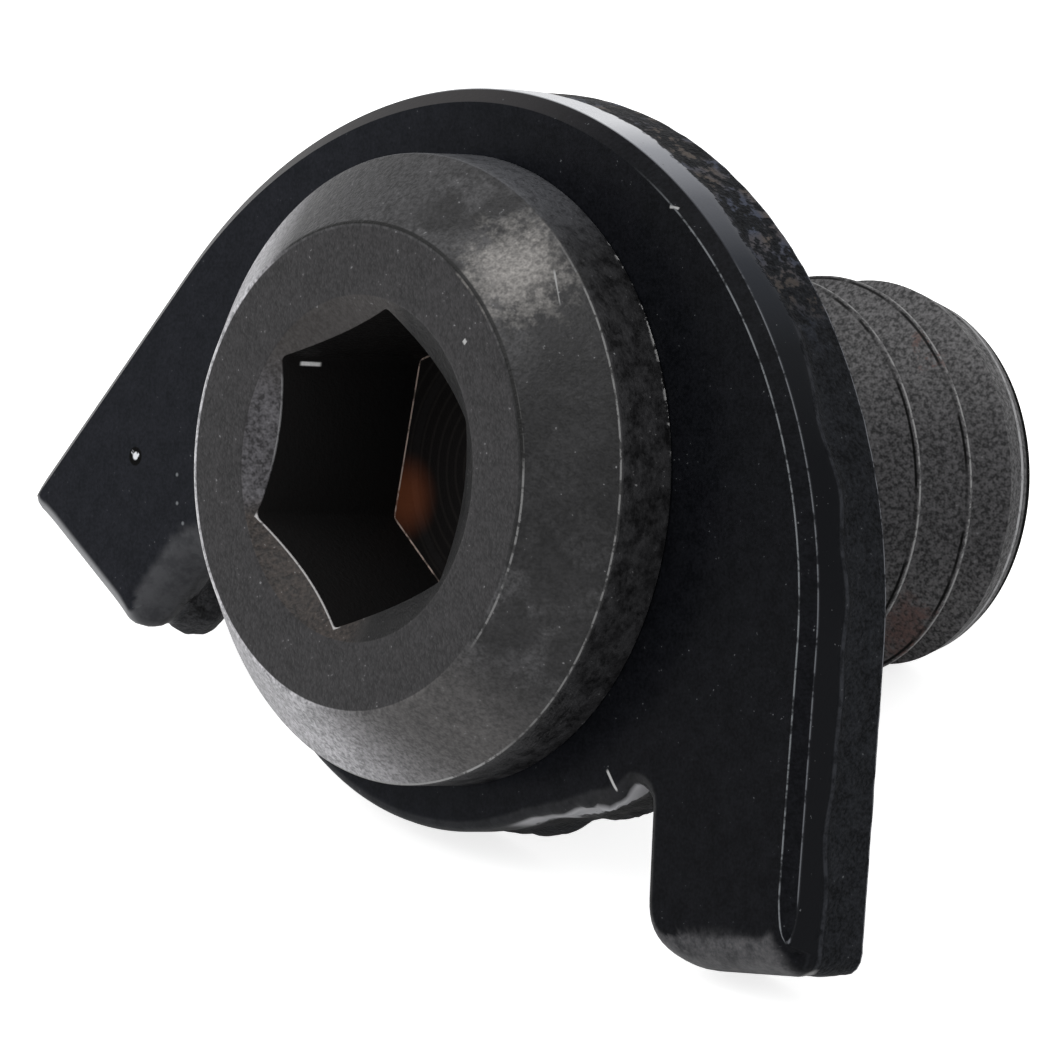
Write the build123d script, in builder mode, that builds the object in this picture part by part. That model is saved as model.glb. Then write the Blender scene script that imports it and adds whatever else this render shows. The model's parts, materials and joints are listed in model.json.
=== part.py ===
from build123d import *
from math import acos, atan, atan2, cos, degrees, hypot, radians, sin, sqrt, tan
import os

# Cable clamp bolt: a low-head socket bolt, M6 x 1, turning in a stamped clamp plate that
# traps a cable against the face it is screwed to. All lengths are in millimetres and all
# angles in degrees. Both pieces are drawn looking at the head: x right, y up, and the bolt
# axis pointing out of the socket. Stations on the axis are counted from the plate's
# clamping face, which holds the origin.

# Bolt head
head_diameter = 8.9
head_height = 1.95
band_height = 0.95           # straight wall under the 45 degree bevel
rim_break = 0.06             # small radius on the head's turned corners

# Key socket
hex_across_flats = 4.0
hex_corner_radius = 0.12
hex_turn = 76                # direction of one corner of the hexagon
socket_depth = 2.7           # top face to the foot of the flats
mouth_margin = 0.14          # countersink beyond the hexagon's corners, at the top face
mouth_angle = 120            # full angle of the countersink
drill_land = 0.15            # flat left between the drill point and the hexagon's flats
drill_angle = 120            # full angle of the drill point

# Shank and thread
thread_diameter = 5.8        # over the crests of the M6 x 1 thread
thread_length = 7.25         # clamping face to the tip
lead_length = 1.0            # tapered start of the thread, which ends at the tip
lead_diameter = 5.1          # over the thread at the tip
neck_diameter = 5.35         # the thread's rolling blank, left plain inside the plate
seat_fillet = 0.2            # radius under the head

# Clamp plate
plate_thickness = 1.5
plate_clearance = 0.06       # radial, between the neck and the hole
runout_clearance = 0.14      # from the thread's run-out to the flare behind the hole
hole_roll = 0.3              # rounded lead into the hole
crown_radius = 7.2           # arc over the head
crown_drop = 1.81            # its centre lies this far below the bolt axis
shoulder_extra = 1.7         # the shoulder's radius beyond the crown's
shoulder_sweep = 39          # part of the outline that the shoulder takes up
boss_radius = 5.1           # arc round the bolt between the arms
outer_bevel = 0.2            # 45 degrees, along the crown and the arms' outer edges
edge_roll = 0.25             # radius of the front edges, pulled over by the punch

# Arms of the plate. A turn is the direction that an edge faces, and a reach is the
# distance of an edge from the bolt axis.
long_arm_turn = 133        # its outer edge runs off the shoulder
long_arm_width = 3.17
long_arm_end_turn = -130
long_arm_reach = 6.22
long_arm_tip_radius = 0.3
long_arm_heel_radius = 0.4
long_arm_root_radius = 0.7
short_arm_turn = -6.3        # its outer edge runs off the crown
short_arm_width = 3.15
short_arm_taper = 2.3        # angle between its inner and outer edges
short_arm_end_turn = -92.5
short_arm_reach = 6.83
short_arm_tip_radius = 0.35
short_arm_heel_radius = 0.95
short_arm_root_radius = 0.4
link_turn = -74.4            # the edge between the boss and the short arm runs off the boss


def spoke(turn, length, start=(0, 0)):
    """Point at a length from a start, in a direction."""
    return (start[0] + length * cos(radians(turn)), start[1] + length * sin(radians(turn)))


def reach(turn, point):
    """How far a point lies from the bolt axis in a direction."""
    return point[0] * cos(radians(turn)) + point[1] * sin(radians(turn))


def corner(first, second):
    """Point where two straight edges meet, each given as its turn and its reach."""
    (a, p), (b, q) = first, second
    spread = sin(radians(b - a))
    x = (p * sin(radians(b)) - q * sin(radians(a))) / spread
    y = (q * cos(radians(a)) - p * cos(radians(b))) / spread
    return (x, y)


# Edges of the plate, each as its turn and its reach
crown_centre = (0, -crown_drop)
shoulder_rise = shoulder_extra * (1 - cos(radians(shoulder_sweep)))
long_arm_out = reach(long_arm_turn, crown_centre) + crown_radius + shoulder_rise
long_arm_outer = (long_arm_turn, long_arm_out)
long_arm_inner = (long_arm_turn, long_arm_out - long_arm_width)
long_arm_end = (long_arm_end_turn, long_arm_reach)
short_arm_out = reach(short_arm_turn, crown_centre) + crown_radius
short_arm_outer = (short_arm_turn, short_arm_out)
short_arm_inner = (short_arm_turn + short_arm_taper, short_arm_out - short_arm_width)
short_arm_end = (short_arm_end_turn, short_arm_reach)
link = (link_turn, boss_radius)

# Corners of the plate
long_arm_tip = corner(long_arm_outer, long_arm_end)
long_arm_heel = corner(long_arm_inner, long_arm_end)
boss_start = long_arm_turn + degrees(acos(long_arm_inner[1] / boss_radius))
long_arm_root = spoke(boss_start, boss_radius)
short_arm_root = corner(short_arm_inner, link)
short_arm_heel = corner(short_arm_inner, short_arm_end)
short_arm_tip = corner(short_arm_outer, short_arm_end)

# The bolt lies on its side: the ground touches the back edge of the plate, at the boss and
# at the short arm's rounded heel, and the last full thread.
heel_centre = corner(
    (short_arm_inner[0], short_arm_inner[1] + short_arm_heel_radius),
    (short_arm_end[0], short_arm_end[1] - short_arm_heel_radius),
)
heel_turn = degrees(atan2(heel_centre[1], heel_centre[0]))
ground_turn = heel_turn - degrees(acos((boss_radius - short_arm_heel_radius) / hypot(*heel_centre)))
tilt = atan((boss_radius - thread_diameter / 2) / (thread_length - lead_length))

# Planes across the axis and one through it
across = Vector(1, 0, 0)
axis_out = Vector(0, -cos(tilt), sin(tilt))
uphill = axis_out.cross(across)
x_side = across * cos(radians(ground_turn + 90)) - uphill * sin(radians(ground_turn + 90))
clamp_face = Plane(origin=(0, 0, 0), x_dir=x_side, z_dir=axis_out)
head_seat = plate_thickness
head_top = head_seat + head_height
socket_foot = head_top - socket_depth
bolt_axis = Axis((0, 0, 0), axis_out)
bolt_section = Plane(origin=(0, 0, 0), x_dir=x_side, z_dir=x_side.cross(axis_out))

# Radii of the bolt
head_radius = head_diameter / 2
top_face_radius = head_radius - (head_height - band_height)
thread_radius = thread_diameter / 2
lead_radius = lead_diameter / 2
neck_radius = neck_diameter / 2
mouth_radius = hex_across_flats / 2 / cos(radians(30)) + mouth_margin
drill_radius = hex_across_flats / 2 - drill_land

# The hole is smaller than the thread's crests, so the plate can't be lost. Behind it, a
# 45 degree flare makes room for the thread's run-out.
hole_radius = neck_radius + plate_clearance
flare_radius = thread_radius + runout_clearance * sqrt(2)


def circles(radius):
    """Round edges of one radius in the piece being built."""
    rounds = edges().filter_by(GeomType.CIRCLE)
    return rounds.filter_by(lambda edge: abs(edge.radius - radius) < 1e-6)


with BuildPart() as bolt:
    # Tip, thread, neck and head in one turned shape
    with BuildSketch(bolt_section):
        with BuildLine():
            Polyline(
                (0, -thread_length),
                (lead_radius, -thread_length),
                (thread_radius, lead_length - thread_length),
                (thread_radius, 0),
                (neck_radius, thread_radius - neck_radius),
                (neck_radius, head_seat),
                (head_radius, head_seat),
                (head_radius, head_seat + band_height),
                (top_face_radius, head_top),
                (0, head_top),
                (0, -thread_length),
            )
        make_face()
    revolve(axis=bolt_axis)
    fillet(circles(neck_radius).sort_by(bolt_axis)[-1], seat_fillet)
    fillet(circles(head_radius) + circles(top_face_radius), rim_break)
    # Key socket: hexagon, drill point below it and countersunk mouth
    with BuildSketch(clamp_face.offset(head_top)):
        RegularPolygon(hex_across_flats / 2, 6, major_radius=False, rotation=hex_turn)
        fillet(vertices(), hex_corner_radius)
    extrude(amount=-socket_depth, mode=Mode.SUBTRACT)
    with BuildSketch(bolt_section):
        for station, radius, angle in (
            (socket_foot, drill_radius, drill_angle),
            (head_top, mouth_radius, mouth_angle),
        ):
            point = station - radius / tan(radians(angle / 2))
            with BuildLine():
                Polyline((0, point), (radius, station), (0, station), (0, point))
            make_face()
    revolve(axis=bolt_axis, mode=Mode.SUBTRACT)


def crown_run():
    """Shoulder and crown, from the long arm's outer edge round to the short arm's."""
    crown_start = long_arm_turn - shoulder_sweep
    shoulder_centre = spoke(crown_start, -shoulder_extra, crown_centre)
    shoulder_radius = crown_radius + shoulder_extra
    shoulder = CenterArc(shoulder_centre, shoulder_radius, long_arm_turn, -shoulder_sweep)
    crown = CenterArc(crown_centre, crown_radius, crown_start, short_arm_turn - crown_start)
    return shoulder @ 0, crown @ 1


with BuildPart() as bevelled_sheet:
    # Sheet whose crown and outer edges are the plate's, and which runs on past the arms
    with BuildSketch(clamp_face):
        with BuildLine():
            long_start, short_start = crown_run()
            long_stop = spoke(long_arm_turn + 90, crown_radius, long_arm_tip)
            short_stop = spoke(short_arm_turn - 90, crown_radius, short_arm_tip)
            Polyline(short_start, short_stop, long_stop, long_start)
        make_face()
    extrude(amount=plate_thickness)
    chamfer(faces().sort_by(bolt_axis)[-1].edges(), outer_bevel)

with BuildPart() as clamp_plate:
    with BuildSketch(clamp_face):
        with BuildLine():
            long_start, short_start = crown_run()
            boss_end = spoke(link_turn, boss_radius)
            Polyline(short_start, short_arm_tip, short_arm_heel, short_arm_root, boss_end)
            CenterArc((0, 0), boss_radius, link_turn, boss_start - 360 - link_turn)
            Polyline(long_arm_root, long_arm_heel, long_arm_tip, long_start)
        make_face()
        for point, radius in (
            (short_arm_tip, short_arm_tip_radius),
            (short_arm_heel, short_arm_heel_radius),
            (short_arm_root, short_arm_root_radius),
            (long_arm_root, long_arm_root_radius),
            (long_arm_tip, long_arm_tip_radius),
            (long_arm_heel, long_arm_heel_radius),
        ):
            fillet(vertices().sort_by_distance(point)[0], radius)
        Circle(hole_radius, mode=Mode.SUBTRACT)
    extrude(amount=plate_thickness)
    # The punch pulls the front edges over, and the outer ones are bevelled after it
    fillet(faces().sort_by(bolt_axis)[-1].outer_wire().edges(), edge_roll)
    fillet(circles(hole_radius).sort_by(bolt_axis)[-1], hole_roll)
    chamfer(circles(hole_radius).sort_by(bolt_axis)[0], flare_radius - hole_radius)
    add(bevelled_sheet.part, mode=Mode.INTERSECT)

os.makedirs("parts", exist_ok=True)
bolt.part.label = "bolt"
export_step(bolt.part, "parts/bolt.step")
clamp_plate.part.label = "clamp_plate"
export_step(clamp_plate.part, "parts/clamp_plate.step")
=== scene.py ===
import json
import math
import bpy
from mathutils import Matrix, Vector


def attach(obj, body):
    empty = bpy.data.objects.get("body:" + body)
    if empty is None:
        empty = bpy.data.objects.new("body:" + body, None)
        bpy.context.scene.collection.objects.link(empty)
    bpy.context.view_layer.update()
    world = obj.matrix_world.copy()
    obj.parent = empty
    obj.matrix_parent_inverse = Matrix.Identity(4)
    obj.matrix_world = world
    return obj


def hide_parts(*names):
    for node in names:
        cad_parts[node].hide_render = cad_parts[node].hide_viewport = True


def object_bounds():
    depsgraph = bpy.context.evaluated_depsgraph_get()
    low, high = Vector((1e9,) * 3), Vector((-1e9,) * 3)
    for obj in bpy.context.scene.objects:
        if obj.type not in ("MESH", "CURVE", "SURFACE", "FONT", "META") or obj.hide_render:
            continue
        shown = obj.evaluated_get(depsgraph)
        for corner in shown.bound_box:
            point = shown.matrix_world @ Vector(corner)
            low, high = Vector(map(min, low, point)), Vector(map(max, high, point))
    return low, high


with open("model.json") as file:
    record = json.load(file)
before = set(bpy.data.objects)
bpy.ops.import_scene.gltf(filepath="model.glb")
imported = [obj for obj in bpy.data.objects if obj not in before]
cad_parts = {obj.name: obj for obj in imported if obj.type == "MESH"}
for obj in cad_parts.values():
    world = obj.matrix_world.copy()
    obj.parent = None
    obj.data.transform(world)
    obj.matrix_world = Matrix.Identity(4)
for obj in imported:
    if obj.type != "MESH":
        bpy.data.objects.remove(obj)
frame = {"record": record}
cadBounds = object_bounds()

from types import SimpleNamespace

import bmesh
import bpy
import mathutils
from mathutils import Matrix, Vector

# Everything is drawn in millimetres looking at the bolt's head: x right, y up and z out of
# the socket, with z = 0 on the plate's clamping face. boltPlace then sets it in the frame.
mounts = {mount["name"]: mount for mount in frame["record"]["mounts"]}
axisOut = -Vector(mounts["thread"]["axis"]).normalized()
sideUp = Vector(mounts["clamping_face"]["pos_m"])
sideUp = (sideUp - axisOut * sideUp.dot(axisOut)).normalized()
sideRight = sideUp.cross(axisOut)
metresPerMm = 0.001
boltTurn = Matrix((sideRight, sideUp, axisOut)).transposed()
boltPlace = boltTurn.to_4x4() @ Matrix.Scale(metresPerMm, 4)


def deselectAll():
    bpy.ops.object.select_all(action="DESELECT")


def editOn(kind="VERT"):
    bpy.ops.object.mode_set(mode="EDIT")
    bpy.ops.mesh.select_mode(type=kind)


def editOff():
    bpy.ops.object.mode_set(mode="OBJECT")


def selectMesh():
    bpy.ops.mesh.select_all(action="SELECT")


def faceOutwards():
    selectMesh()
    bpy.ops.mesh.normals_make_consistent(inside=False)


def startPoint(place):
    # a new mesh of one selected point, in edit mode
    deselectAll()
    bpy.ops.mesh.primitive_plane_add(size=0.1)
    piece = bpy.context.object
    editOn()
    selectMesh()
    bpy.ops.mesh.merge(type="CENTER")
    selectMesh()
    bpy.ops.transform.translate(value=place)
    return piece


def pick(kind, test):
    # selects the vertices, edges or faces that pass the test, and returns how many
    bpy.ops.mesh.select_mode(type=kind)
    bpy.ops.mesh.select_all(action="DESELECT")
    mesh = bmesh.from_edit_mesh(bpy.context.object.data)
    parts = {"VERT": mesh.verts, "EDGE": mesh.edges, "FACE": mesh.faces}[kind]
    for part in parts:
        part.select = test(part)
    mesh.select_flush_mode()
    bmesh.update_edit_mesh(bpy.context.object.data)
    return sum(part.select for part in parts)


def onRing(edge, radius, station, room=0.004):
    # is this edge part of a round ring about the bolt axis?
    return all(
        abs(v.co.xy.length - radius) < room and abs(v.co.z - station) < room for v in edge.verts
    )


def atStation(edge, station, room=0.0005):
    return all(abs(v.co.z - station) < room for v in edge.verts)


def extrudeEdges(rise=0):
    bpy.ops.mesh.extrude_edges_move(TRANSFORM_OT_translate={"value": (0, 0, rise)})


def widen(scale, station):
    # scales the selection about the bolt axis
    bpy.ops.transform.resize(value=(scale, scale, 1), center_override=(0, 0, station))


def extrudeRing(radius, station, start):
    # extrudes the selected ring from its start (radius, station) to the next
    extrudeEdges(station - start[1])
    widen(radius / start[0], station)
    return radius, station


def roundOff(radius, station):
    # makes the selected ring a circle
    bpy.ops.transform.tosphere(value=1.0, center_override=(0, 0, station))
    mesh = bmesh.from_edit_mesh(bpy.context.object.data)
    widen(radius / next(v.co.xy.length for v in mesh.verts if v.select), station)


def applyModifiers(piece):
    bpy.context.view_layer.objects.active = piece
    for modifier in list(piece.modifiers):
        bpy.ops.object.modifier_apply(modifier=modifier.name)


def takePlace(piece, name, sharpAngle):
    # turns the faces outwards, sets the piece in the frame and leaves its object at the origin
    deselectAll()
    piece.select_set(True)
    bpy.context.view_layer.objects.active = piece
    editOn()
    faceOutwards()
    editOff()
    piece.matrix_world = boltPlace @ piece.matrix_world
    bpy.ops.object.transform_apply(location=True, rotation=True, scale=True)
    bpy.ops.object.shade_smooth_by_angle(angle=math.radians(sharpAngle))
    piece.name = name
    piece.data.name = name
    piece.select_set(False)


boltSizes = {
    "headRadius": 4.45,
    "headTop": 3.45,
    "seat": 1.5,               # underside of the head, on the plate
    "bandTop": 2.45,           # the 45 degree bevel starts here
    "topRadius": 3.45,
    "rimBreak": 0.06,          # radius on the turned corners
    "seatFillet": 0.2,
    "neckRadius": 2.675,
    "hexFlat": 2.0,            # axis to a flat of the key socket
    "hexCornerRadius": 0.12,
    "hexTurn": 76,             # direction of one corner
    "socketFoot": 0.75,
    "mouthRadius": 2.449,
    "mouthBreak": 0.02,
    "drillRadius": 1.85,
    "coneAngle": 60,           # half angle of the mouth and of the drill point
    "sideCuts": 39,            # points along each side of the hexagon
    "cornerSteps": 8,
    "sharpAngle": 25,          # sharper edges than this aren't smoothed
    "flatLevels": (3.1, 2.6, 2.1, 1.6, 1.15, 0.9),    # rings of points down the socket
    "drillShares": (0.85, 0.65, 0.45, 0.25, 0.1, 0.03),
    "topRings": (2.6, 3.0, 3.3),
    "bevelRings": (3.6, 3.95, 4.3),
    "bandLevels": (2.3, 1.95, 1.65),
    "seatRings": (4.0, 3.4),
    "neckLevels": (0.8, 0.1),
    "thread": {
        "crestRadius": 2.875,
        "rootRadius": 2.36,
        "pitch": 1.0,
        "crestFlat": 0.05,
        "rootFlat": 0.14,
        "crestRound": 0.035,
        "crestStation": -8.72,     # a crest lies here in the direction of x
        "turns": 12,
        "shallowFrom": -6.62,      # the groove gets shallower towards the tip
        "shallowRun": 0.45,
        "steps": 144,
        "top": 0.9,                # it ends inside the neck
        "blankTop": 0.7,
        # envelope over the crests from the tip up, as stations and radii
        "lead": (
            (-7.25, 2.49), (-7.21, 2.53), (-7.1, 2.596), (-6.9, 2.664),
            (-6.6, 2.77), (-6.3, 2.86), (-6.2, 2.9),
        ),
    },
}


def hollowSocket():
    # hexagon with rounded corners, extruded down to a land, then the drill's cone
    s = boltSizes
    slope = math.tan(math.radians(s["coneAngle"]))
    cornerRadius = s["hexFlat"] / math.cos(math.radians(30))
    turn = (0, 0, math.radians(s["hexTurn"] - 90))
    deselectAll()
    bpy.ops.mesh.primitive_circle_add(vertices=6, radius=cornerRadius, rotation=turn)
    head = bpy.context.object
    bpy.ops.object.transform_apply(rotation=True)
    editOn()
    selectMesh()
    tangent = s["hexCornerRadius"] * math.tan(math.radians(30))
    bpy.ops.mesh.bevel(offset=tangent, segments=s["cornerSteps"], affect="VERTICES")
    pick("EDGE", lambda edge: edge.calc_length() > s["hexFlat"])
    bpy.ops.mesh.subdivide(number_cuts=s["sideCuts"])
    selectMesh()
    bpy.ops.transform.translate(value=(0, 0, s["headTop"]))
    station = s["headTop"]
    for level in s["flatLevels"] + (s["socketFoot"],):
        extrudeEdges(level - station)
        station = level
    extrudeEdges()
    roundOff(s["drillRadius"], station)
    start = (s["drillRadius"], station)
    for share in s["drillShares"]:
        radius = share * s["drillRadius"]
        start = extrudeRing(radius, station - (s["drillRadius"] - radius) / slope, start)
    bpy.ops.mesh.edge_face_add()
    return head


def openMouth(head):
    # its rim is round, and the hexagon's top edge follows the cone
    s = boltSizes
    slope = math.tan(math.radians(s["coneAngle"]))
    pick("EDGE", lambda edge: atStation(edge, s["headTop"]))
    extrudeEdges()
    roundOff(s["mouthRadius"], s["headTop"])
    mesh = bmesh.from_edit_mesh(head.data)
    for v in mesh.verts:
        if abs(v.co.z - s["headTop"]) < 0.001 and not v.select:
            v.co.z -= (s["mouthRadius"] - v.co.xy.length) / slope
    bmesh.update_edit_mesh(head.data)


def turnOutside():
    # top face, bevel, band, underside, fillet and neck, from the mouth's selected rim
    s = boltSizes
    bevelSum = s["topRadius"] + s["headTop"]
    fillet, filletFoot = s["seatFillet"], s["neckRadius"] + s["seatFillet"]
    profile = [(radius, s["headTop"]) for radius in s["topRings"] + (s["topRadius"],)]
    profile += [(radius, bevelSum - radius) for radius in s["bevelRings"]]
    profile += [(s["headRadius"], level) for level in (s["bandTop"], *s["bandLevels"], s["seat"])]
    profile += [(radius, s["seat"]) for radius in s["seatRings"] + (filletFoot,)]
    for turn in (22.5, 45, 67.5, 90):
        inward, down = math.sin(math.radians(turn)), 1 - math.cos(math.radians(turn))
        profile.append((filletFoot - fillet * inward, s["seat"] - fillet * down))
    profile += [(s["neckRadius"], level) for level in s["neckLevels"]]
    start = (s["mouthRadius"], s["headTop"])
    for radius, level in profile:
        start = extrudeRing(radius, level, start)
    bpy.ops.mesh.edge_face_add()
    faceOutwards()


def makeHead():
    s = boltSizes
    head = hollowSocket()
    openMouth(head)
    turnOutside()
    # small turned radii, and the burred rim of the socket's mouth
    slanted = s["rimBreak"] * math.tan(math.radians(22.5))
    for radius, level, offset in (
        (s["topRadius"], s["headTop"], slanted),
        (s["headRadius"], s["bandTop"], slanted),
        (s["headRadius"], s["seat"], s["rimBreak"]),
        (s["mouthRadius"], s["headTop"], s["mouthBreak"]),
    ):
        pick("EDGE", lambda edge: onRing(edge, radius, level))
        bpy.ops.mesh.bevel(offset=offset, segments=3)
    editOff()
    return head


def threadOutline():
    # one pitch of the thread, from the middle of a root over the crest to the next root
    s = boltSizes["thread"]
    halfCrest, halfRoot, half = s["crestFlat"] / 2, s["rootFlat"] / 2, s["pitch"] / 2
    flank = half - halfCrest - halfRoot
    rise = s["crestRadius"] - s["rootRadius"]
    bend = s["crestRound"] * math.tan(math.radians(30))
    rightSide = [
        (0, s["crestRadius"]),
        (halfCrest - bend, s["crestRadius"]),
        (halfCrest + 0.3 * bend, s["crestRadius"] - 0.25 * s["crestRound"]),
        (halfCrest + 0.9 * bend, s["crestRadius"] - 0.9 * s["crestRound"]),
        (halfCrest + 0.35 * flank, s["crestRadius"] - 0.35 * rise),
        (halfCrest + 0.7 * flank, s["crestRadius"] - 0.7 * rise),
        (half - halfRoot - 0.02, s["rootRadius"] + 0.05),
        (half - 0.6 * halfRoot, s["rootRadius"] + 0.012),
        (half, s["rootRadius"]),
    ]
    outline = [(-z, r) for z, r in reversed(rightSide)] + rightSide[1:]
    return [Vector((r, 0, s["crestStation"] + z)) for z, r in outline]


def windThread():
    s = boltSizes["thread"]
    outline = threadOutline()
    thread = startPoint(outline[0])
    for last, point in zip(outline, outline[1:]):
        bpy.ops.mesh.extrude_vertices_move(TRANSFORM_OT_translate={"value": point - last})
    editOff()
    turn = thread.modifiers.new("turn", "SCREW")
    turn.screw_offset = s["pitch"]
    turn.iterations = s["turns"]
    turn.steps = turn.render_steps = s["steps"]
    turn.use_merge_vertices = True
    turn.merge_threshold = 0.0001
    applyModifiers(thread)
    editOn()
    selectMesh()
    bpy.ops.mesh.remove_doubles(threshold=0.001)
    # the groove runs shallow at the tip
    mesh = bmesh.from_edit_mesh(thread.data)
    for v in mesh.verts:
        radius = v.co.xy.length
        share = min(1, max(0, (s["shallowFrom"] - v.co.z) / s["shallowRun"]))
        least = s["rootRadius"] + (s["crestRadius"] - s["rootRadius"]) * share
        v.co.xy *= max(radius, least) / radius
    bmesh.update_edit_mesh(thread.data)
    # cut square at both ends, which also closes them
    for level, isTop in ((s["lead"][0][0], False), (s["top"], True)):
        selectMesh()
        bpy.ops.mesh.bisect(
            plane_co=(0, 0, level), plane_no=(0, 0, 1), use_fill=True,
            clear_inner=not isTop, clear_outer=isTop,
        )
    faceOutwards()
    editOff()
    return thread


def turnBlank():
    # blank of the shank: tapered start, crests, and the run-out up to the neck
    s = boltSizes["thread"]
    neck = boltSizes["neckRadius"]
    lastLevel, lastRadius = s["lead"][0]
    deselectAll()
    bpy.ops.mesh.primitive_circle_add(vertices=s["steps"], radius=lastRadius)
    blank = bpy.context.object
    editOn("EDGE")
    selectMesh()
    bpy.ops.transform.translate(value=(0, 0, lastLevel))
    bpy.ops.mesh.edge_face_add()
    outer = s["lead"][-1][1]
    for level, radius in s["lead"][1:] + ((0, outer), (outer - neck, neck), (s["blankTop"], neck)):
        rise = (0, 0, level - lastLevel)
        bpy.ops.mesh.extrude_region_move(TRANSFORM_OT_translate={"value": rise})
        widen(radius / lastRadius, level)
        lastLevel, lastRadius = level, radius
    faceOutwards()
    editOff()
    return blank


def combine(piece, other, operation):
    cut = piece.modifiers.new("combine", "BOOLEAN")
    cut.operation = operation
    cut.object = other
    applyModifiers(piece)
    bpy.data.objects.remove(other)


def makeBolt():
    head = makeHead()
    thread = windThread()
    combine(thread, turnBlank(), "INTERSECT")
    combine(head, thread, "UNION")
    takePlace(head, "bolt_turned", boltSizes["sharpAngle"])
    return head


plateSizes = {
    "thickness": 1.5,
    "crownRadius": 7.2,
    "crownDrop": 1.81,
    "shoulderExtra": 1.7,
    "shoulderSweep": 39,
    "bossRadius": 5.1,
    "outerBevel": 0.2,         # 45 degrees, along the crown and the arms' outer edges
    "bevelEnd": (0.33, 0.75),  # it starts this far from the short arm's end, and fades in
    "holeRadius": 2.735,
    "holeRoll": 0.3,
    "flareRadius": 3.098,
    "longArm": {"turn": 133, "width": 3.17, "endTurn": -130, "reach": 6.22},
    "shortArm": {"turn": -6.3, "width": 3.15, "taper": 2.3, "endTurn": -92.5, "reach": 6.83},
    "linkTurn": -74.4,
    "corners": {
        "longTip": 0.3, "longHeel": 0.4, "longRoot": 0.7,
        "shortTip": 0.35, "shortHeel": 0.95, "shortRoot": 0.4,
    },
    "spacing": 0.12,           # between points along the outline
    "grid": 0.16,              # between the cuts across the front
    "wallLevels": (
        0.04, 0.1, 0.18, 0.27, 0.36, 0.45, 0.54, 0.62, 0.7, 0.78, 0.88, 1.0, 1.12, 1.24, 1.36,
    ),
    "insets": (0.022, 0.06, 0.1, 0.15, 0.18, 0.2, 0.222, 0.262),
    "holeSteps": 180,
    "sharpAngle": 35,
    # The lower part of the walls broke away, short of the outline: the middle level of its
    # upper border, how far that wanders, how softly the break starts under it, and how deep
    # it lies at the crown and, this far below the bolt axis, at the short arm.
    "tear": {
        "level": 0.83, "wander": 0.14, "soft": 0.12,
        "crown": 0.045, "shortArm": 0.022, "armDrop": 5, "grain": 0.009,
    },
    # Burrs and dents on the walls: a place in the outline, the reach along it, the level and
    # the reach across it, and how far the wall stands out.
    "burrs": (
        ((2.45, -4.55), 1.3, 0.25, 0.75, 0.08),
        ((2.45, -4.55), 1.1, 1.0, 3.0, 0.17),
        ((3.2, -4.4), 0.8, 1.5, 0.8, 0.18),
        ((0.55, -5.1), 0.55, 0.1, 0.36, 0.10),
        ((-0.25, -5.1), 0.55, 0.05, 0.3, 0.06),
        ((-6.75, -2.05), 0.75, 0.38, 0.36, 0.17),
        ((-6.8, -2.1), 0.6, 0.86, 0.2, -0.06),
        ((-6.2, -1.6), 0.5, 0.45, 0.4, -0.12),
        ((6.2, -6.85), 0.5, 0.45, 0.35, 0.03),
    ),
    "burrRough": 0.35,
    "burrSpread": 0.5,         # how far in from the walls the front follows them
    # Radius of the edge that the punch pulled over, and where it grows beyond it: the middle
    # of the stretch, its half length and the radius there.
    "roll": 0.17,
    "wideRolls": (
        ((5.6, -7.25), 2.0, 0.60),     # short arm's end
        ((-6.0, -1.35), 1.6, 0.55),    # long arm's inner edge
        ((-8.3, -1.3), 1.7, 0.27),     # and its end
    ),
}


def spoke(turn, length, start=(0, 0)):
    return Vector((
        start[0] + length * math.cos(math.radians(turn)),
        start[1] + length * math.sin(math.radians(turn)),
        0,
    ))


def cornerOf(first, second):
    # where two straight edges meet, each given as the way it faces and its reach
    (a, p), (b, q) = first, second
    spread = math.sin(math.radians(b - a))
    x = (p * math.sin(math.radians(b)) - q * math.sin(math.radians(a))) / spread
    y = (q * math.cos(math.radians(a)) - p * math.cos(math.radians(b))) / spread
    return Vector((x, y, 0))


def plateCorners():
    s = plateSizes
    far, near = s["longArm"], s["shortArm"]
    crownCentre = Vector((0, -s["crownDrop"], 0))
    shoulderRise = s["shoulderExtra"] * (1 - math.cos(math.radians(s["shoulderSweep"])))
    farOut = crownCentre.dot(spoke(far["turn"], 1)) + s["crownRadius"] + shoulderRise
    nearOut = crownCentre.dot(spoke(near["turn"], 1)) + s["crownRadius"]
    farOuter, farInner = (far["turn"], farOut), (far["turn"], farOut - far["width"])
    farEnd = (far["endTurn"], far["reach"])
    nearOuter = (near["turn"], nearOut)
    nearInner = (near["turn"] + near["taper"], nearOut - near["width"])
    nearEnd = (near["endTurn"], near["reach"])
    crownStart = far["turn"] - s["shoulderSweep"]
    shoulderCentre = spoke(crownStart, -s["shoulderExtra"], crownCentre)
    return {
        "crownCentre": crownCentre,
        "crownStart": crownStart,
        "shoulderCentre": shoulderCentre,
        "shoulderStart": spoke(far["turn"], s["crownRadius"] + s["shoulderExtra"], shoulderCentre),
        "crownEnd": spoke(near["turn"], s["crownRadius"], crownCentre),
        "longTip": cornerOf(farOuter, farEnd),
        "longHeel": cornerOf(farInner, farEnd),
        "bossEnd": spoke(s["linkTurn"], s["bossRadius"]),
        "shortRoot": cornerOf(nearInner, (s["linkTurn"], s["bossRadius"])),
        "shortHeel": cornerOf(nearInner, nearEnd),
        "shortTip": cornerOf(nearOuter, nearEnd),
    }


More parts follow.
